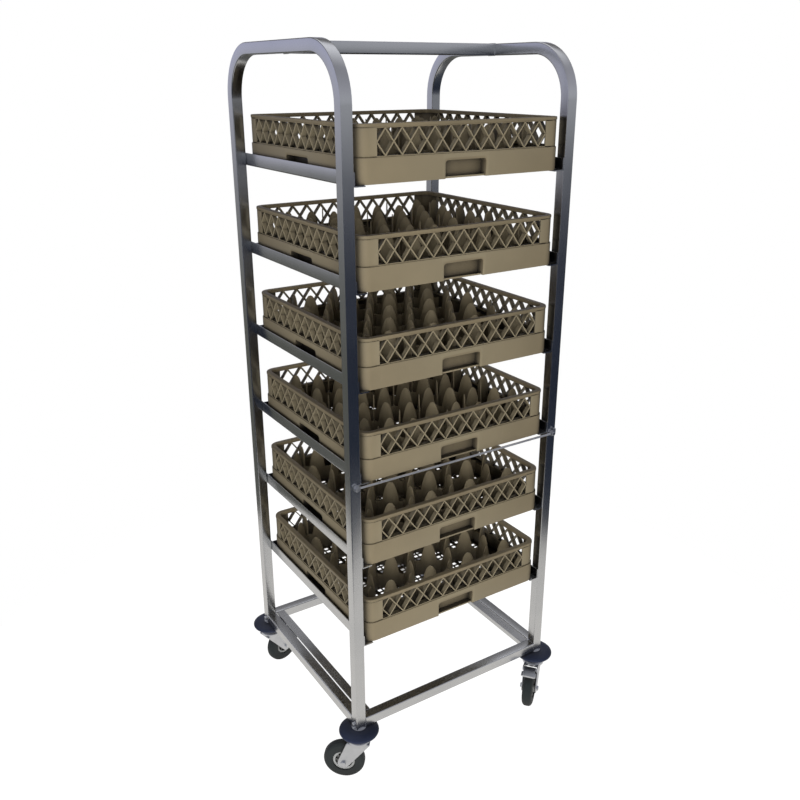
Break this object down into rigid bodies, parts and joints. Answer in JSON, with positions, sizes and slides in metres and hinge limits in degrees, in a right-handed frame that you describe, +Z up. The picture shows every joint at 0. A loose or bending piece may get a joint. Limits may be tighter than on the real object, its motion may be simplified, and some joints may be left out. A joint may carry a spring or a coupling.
{
  "type": "glass rack dolly",
  "caption": "Rolling dolly of bent square tube on swivel castors, with slide-in lattice racks for glasses on angle runners.",
  "frame": {"origin": "on the floor under the middle of the dolly's box", "axes": "+X to the right as seen from the open front, +Y to the rear, +Z up; the racks slide out along -Y"},
  "size_m": [0.6838, 0.6222, 1.652],
  "materials": {
    "stainless": "brushed",
    "zinc": "bright zinc plate",
    "rack_plastic": "moulded, satin",
    "buffer": "matte",
    "tyre": "matte",
    "hub_plastic": "moulded, satin"
  },
  "bodies": {
    "frame": {"left_hoop": "stainless", "right_hoop": "stainless", "top_bar": "stainless", "front_rail": "stainless", "rear_rail": "stainless", "left_rail": "stainless", "right_rail": "stainless", "left_ledge": "stainless", "right_ledge": "stainless", "left_runners": "stainless", "right_runners": "stainless", "pivot_stud": "zinc", "keeper_stud": "zinc", "stem_front_left": "zinc", "stem_front_right": "zinc", "stem_rear_left": "zinc", "stem_rear_right": "zinc", "disc_front_left": "buffer", "disc_front_right": "buffer", "disc_rear_left": "buffer", "disc_rear_right": "buffer"},
    "tie_rod": {"rod": "zinc", "rod_ends": "zinc"},
    "rack_1": {"walls_1": "rack_plastic", "floor_1": "rack_plastic", "slats_1": "rack_plastic"},
    "rack_2": {"walls_2": "rack_plastic", "floor_2": "rack_plastic", "slats_2": "rack_plastic"},
    "rack_3": {"walls_3": "rack_plastic", "floor_3": "rack_plastic", "slats_3": "rack_plastic"},
    "rack_4": {"walls_4": "rack_plastic", "floor_4": "rack_plastic", "slats_4": "rack_plastic"},
    "rack_5": {"walls_5": "rack_plastic", "floor_5": "rack_plastic", "slats_5": "rack_plastic"},
    "rack_6": {"walls_6": "rack_plastic", "floor_6": "rack_plastic", "slats_6": "rack_plastic"},
    "swivel_front_left": {"fork_front_left": "zinc", "axle_front_left": "zinc"},
    "wheel_front_left": {"hub_front_left": "hub_plastic", "tyre_front_left": "tyre"},
    "swivel_front_right": {"fork_front_right": "zinc", "axle_front_right": "zinc"},
    "wheel_front_right": {"hub_front_right": "hub_plastic", "tyre_front_right": "tyre"},
    "pedal_front_right": {"pedal_front_right": "zinc"},
    "swivel_rear_left": {"fork_rear_left": "zinc", "axle_rear_left": "zinc"},
    "wheel_rear_left": {"hub_rear_left": "hub_plastic", "tyre_rear_left": "tyre"},
    "swivel_rear_right": {"fork_rear_right": "zinc", "axle_rear_right": "zinc"},
    "wheel_rear_right": {"hub_rear_right": "hub_plastic", "tyre_rear_right": "tyre"},
    "pedal_rear_right": {"pedal_rear_right": "zinc"}
  },
  "joints": [
    {"name": "rack_1_slide", "type": "slide", "parent": "frame", "child": "rack_1", "axis": [0, -1, 0], "range_m": [0, 0.4]},
    {"name": "rack_2_slide", "type": "slide", "parent": "frame", "child": "rack_2", "axis": [0, -1, 0], "range_m": [0, 0.4]},
    {"name": "rack_3_slide", "type": "slide", "parent": "frame", "child": "rack_3", "axis": [0, -1, 0], "range_m": [0, 0.4]},
    {"name": "rack_4_slide", "type": "slide", "parent": "frame", "child": "rack_4", "axis": [0, -1, 0], "range_m": [0, 0.4]},
    {"name": "rack_5_slide", "type": "slide", "parent": "frame", "child": "rack_5", "axis": [0, -1, 0], "range_m": [0, 0.4]},
    {"name": "rack_6_slide", "type": "slide", "parent": "frame", "child": "rack_6", "axis": [0, -1, 0], "range_m": [0, 0.4]},
    {"name": "tie_rod_swing", "type": "hinge", "parent": "frame", "child": "tie_rod", "pos_m": [-0.2705, -0.2672, 0.7812], "axis": [0, -1, 0], "range_deg": [0, 90]},
    {"name": "swivel_front_left_turn", "type": "hinge", "parent": "frame", "child": "swivel_front_left", "pos_m": [-0.2705, -0.25, 0.117], "axis": [0, 0, 1], "continuous": true},
    {"name": "wheel_front_left_roll", "type": "hinge", "parent": "swivel_front_left", "child": "wheel_front_left", "pos_m": [-0.29925, -0.22671, 0.05], "axis": [-0.6293, -0.7771, 0], "continuous": true},
    {"name": "swivel_front_right_turn", "type": "hinge", "parent": "frame", "child": "swivel_front_right", "pos_m": [0.2705, -0.25, 0.117], "axis": [0, 0, 1], "continuous": true},
    {"name": "wheel_front_right_roll", "type": "hinge", "parent": "swivel_front_right", "child": "wheel_front_right", "pos_m": [0.24175, -0.27329, 0.05], "axis": [0.6293, -0.7771, 0], "continuous": true},
    {"name": "pedal_front_right_press", "type": "hinge", "parent": "swivel_front_right", "child": "pedal_front_right", "pos_m": [0.23708, -0.27706, 0.112], "axis": [0.6293, -0.7771, 0], "range_deg": [0, 10]},
    {"name": "swivel_rear_left_turn", "type": "hinge", "parent": "frame", "child": "swivel_rear_left", "pos_m": [-0.2705, 0.25, 0.117], "axis": [0, 0, 1], "continuous": true},
    {"name": "wheel_rear_left_roll", "type": "hinge", "parent": "swivel_rear_left", "child": "wheel_rear_left", "pos_m": [-0.23476, 0.25958, 0.05], "axis": [-0.2588, 0.9659, 0], "continuous": true},
    {"name": "swivel_rear_right_turn", "type": "hinge", "parent": "frame", "child": "swivel_rear_right", "pos_m": [0.2705, 0.25, 0.117], "axis": [0, 0, 1], "continuous": true},
    {"name": "wheel_rear_right_roll", "type": "hinge", "parent": "swivel_rear_right", "child": "wheel_rear_right", "pos_m": [0.29925, 0.27329, 0.05], "axis": [-0.6293, 0.7771, 0], "continuous": true},
    {"name": "pedal_rear_right_press", "type": "hinge", "parent": "swivel_rear_right", "child": "pedal_rear_right", "pos_m": [0.30392, 0.27706, 0.112], "axis": [-0.6293, 0.7771, 0], "range_deg": [0, 10]}
  ]
}
